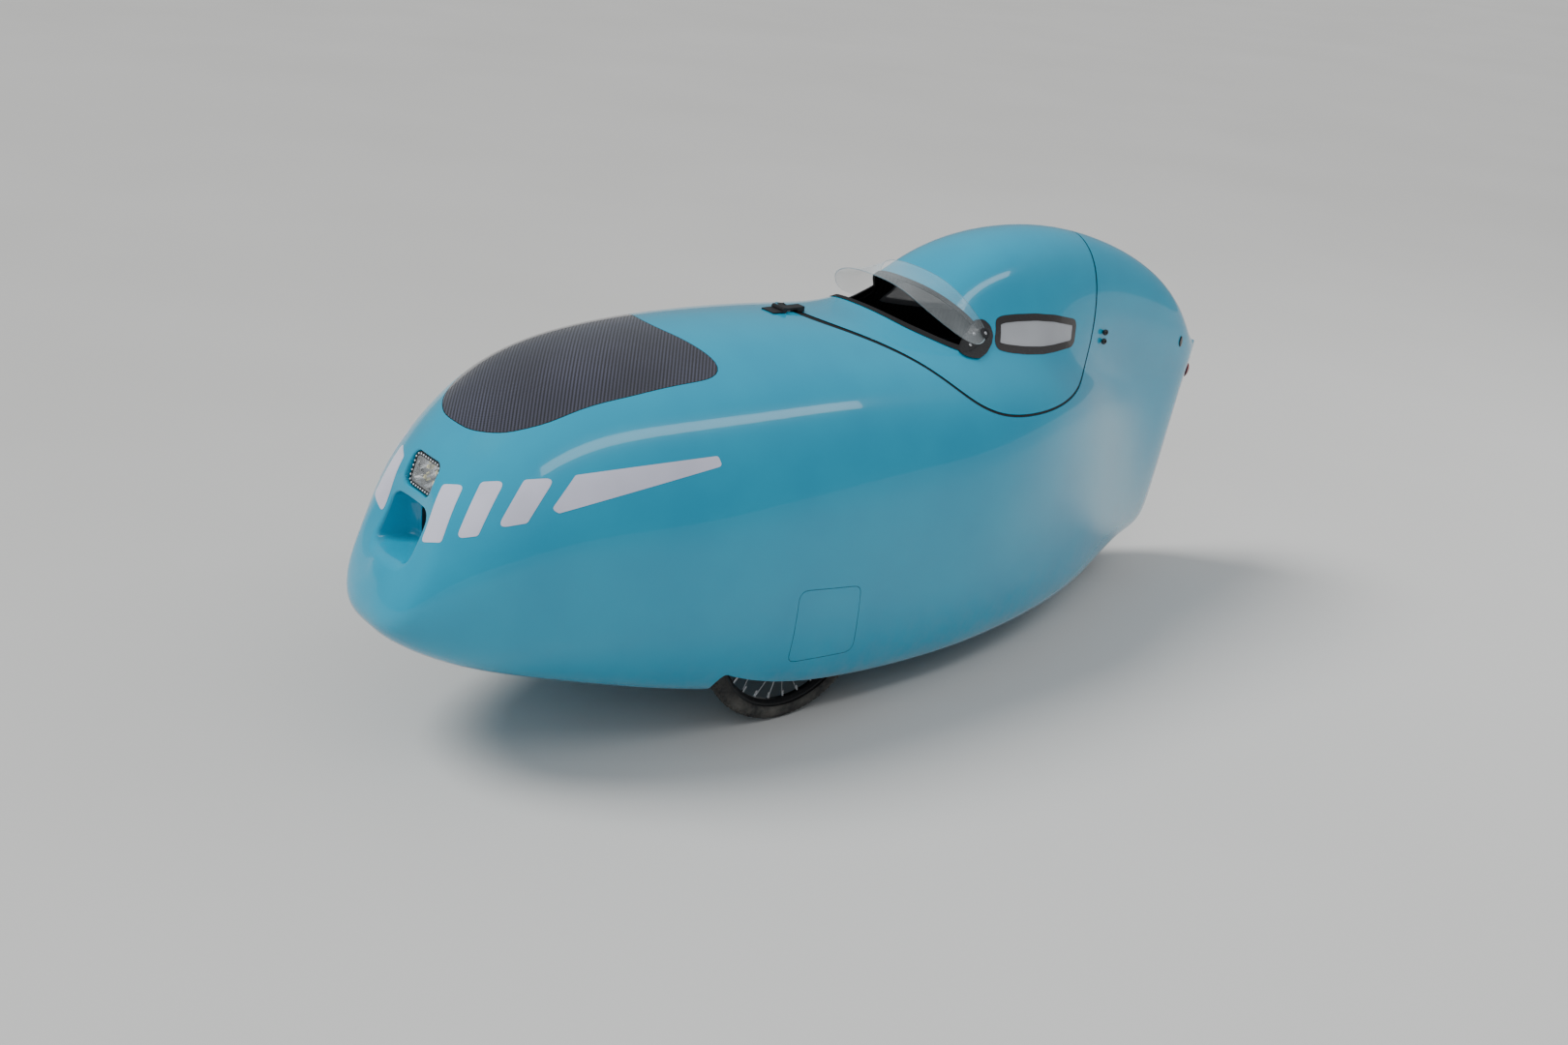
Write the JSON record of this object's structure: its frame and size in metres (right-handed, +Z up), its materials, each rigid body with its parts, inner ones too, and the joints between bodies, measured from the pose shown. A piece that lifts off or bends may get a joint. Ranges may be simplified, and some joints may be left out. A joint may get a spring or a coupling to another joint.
{
  "type": "velomobile",
  "caption": "Faired recumbent tricycle: closed streamlined shell with lift-up canopy and hood, tiller-steered front wheels, pedal cranks and a driven rear wheel.",
  "frame": {"origin": "on the floor, under the middle of the overall length and width", "axes": "+X forwards to the nose, +Y to the vehicle's left, +Z up"},
  "size_m": [2.5384, 0.8082, 1.0054],
  "materials": {
    "paint": "glossy",
    "carbon": "glossy",
    "laminate": "matte",
    "black_plastic": "satin",
    "lens": "clear",
    "visor_clear": "clear",
    "window_tint": "tinted",
    "rear_lens": "glossy",
    "tyre": "matte",
    "alloy": "satin",
    "dark_alloy": "satin",
    "seat_fabric": "matte",
    "rubber": "matte"
  },
  "bodies": {
    "hull": {"lower_shell": "paint", "upper_shell": "paint", "air_intake": "paint", "left_service_hatch": "paint", "right_service_hatch": "paint", "bonnet_panel": "carbon", "headlight_housing": "black_plastic", "headlight_lens": "lens", "rear_light": "rear_lens", "left_wheel_box": "laminate", "right_wheel_box": "laminate", "rear_wheel_box": "laminate", "left_strut": "alloy", "right_strut": "alloy", "left_lower_arm": "dark_alloy", "right_lower_arm": "dark_alloy", "rear_swing_arm": "dark_alloy", "seat_shell": "laminate", "seat_pad": "seat_fabric", "seat_support": "laminate", "headrest": "seat_fabric", "accessory_inserts": "black_plastic", "tiller_bearing": "alloy", "bottom_bracket_post": "laminate", "hinge_base": "black_plastic"},
    "canopy": {"canopy_shell": "paint", "canopy_hinge": "black_plastic", "left_side_window": "window_tint", "right_side_window": "window_tint", "visor_seal": "rubber", "visor": "visor_clear", "left_visor_pivot": "black_plastic", "right_visor_pivot": "black_plastic"},
    "tiller": {"steering_tiller": "dark_alloy"},
    "left_steering": {"left_knuckle": "alloy"},
    "right_steering": {"right_knuckle": "alloy"},
    "left_wheel": {"left_front_tyre": "tyre", "left_front_wheel": "alloy"},
    "right_wheel": {"right_front_tyre": "tyre", "right_front_wheel": "alloy"},
    "back_wheel": {"rear_tyre": "tyre", "rear_wheel": "alloy"},
    "cranks": {"crankset": "dark_alloy"},
    "left_foot": {"left_pedal": "black_plastic"},
    "right_foot": {"right_pedal": "black_plastic"}
  },
  "joints": [
    {"name": "canopy_open", "type": "hinge", "parent": "hull", "child": "canopy", "pos_m": [0.256, 0, 0.86466], "axis": [0, 1, 0], "range_deg": [0, 65]},
    {"name": "tiller_turn", "type": "hinge", "parent": "hull", "child": "tiller", "pos_m": [0.24, 0, 0.12], "axis": [0, 0, 1], "range_deg": [-20, 20]},
    {"name": "left_steer", "type": "hinge", "parent": "hull", "child": "left_steering", "pos_m": [0.385, 0.3, 0], "axis": [0, -0.225, 0.9744], "range_deg": [-12, 12]},
    {"name": "right_steer", "type": "hinge", "parent": "hull", "child": "right_steering", "pos_m": [0.385, -0.3, 0], "axis": [0, 0.225, 0.9744], "range_deg": [-12, 12]},
    {"name": "left_wheel_spin", "type": "hinge", "parent": "left_steering", "child": "left_wheel", "pos_m": [0.385, 0.3, 0.235], "axis": [0, 1, 0], "continuous": true},
    {"name": "right_wheel_spin", "type": "hinge", "parent": "right_steering", "child": "right_wheel", "pos_m": [0.385, -0.3, 0.235], "axis": [0, 1, 0], "continuous": true},
    {"name": "rear_wheel_spin", "type": "hinge", "parent": "hull", "child": "back_wheel", "pos_m": [-0.85, 0, 0.235], "axis": [0, 1, 0], "continuous": true},
    {"name": "crank_spin", "type": "hinge", "parent": "hull", "child": "cranks", "pos_m": [0.83, 0, 0.44], "axis": [0, 1, 0], "continuous": true},
    {"name": "left_pedal_spin", "type": "hinge", "parent": "cranks", "child": "left_foot", "pos_m": [0.68, 0.05, 0.44], "axis": [0, 1, 0], "continuous": true},
    {"name": "right_pedal_spin", "type": "hinge", "parent": "cranks", "child": "right_foot", "pos_m": [0.98, -0.05, 0.44], "axis": [0, 1, 0], "continuous": true}
  ],
  "couplings": [
    {"joint": "left_steer", "follows": "tiller_turn", "ratio": 0.6},
    {"joint": "right_steer", "follows": "tiller_turn", "ratio": 0.6}
  ]
}
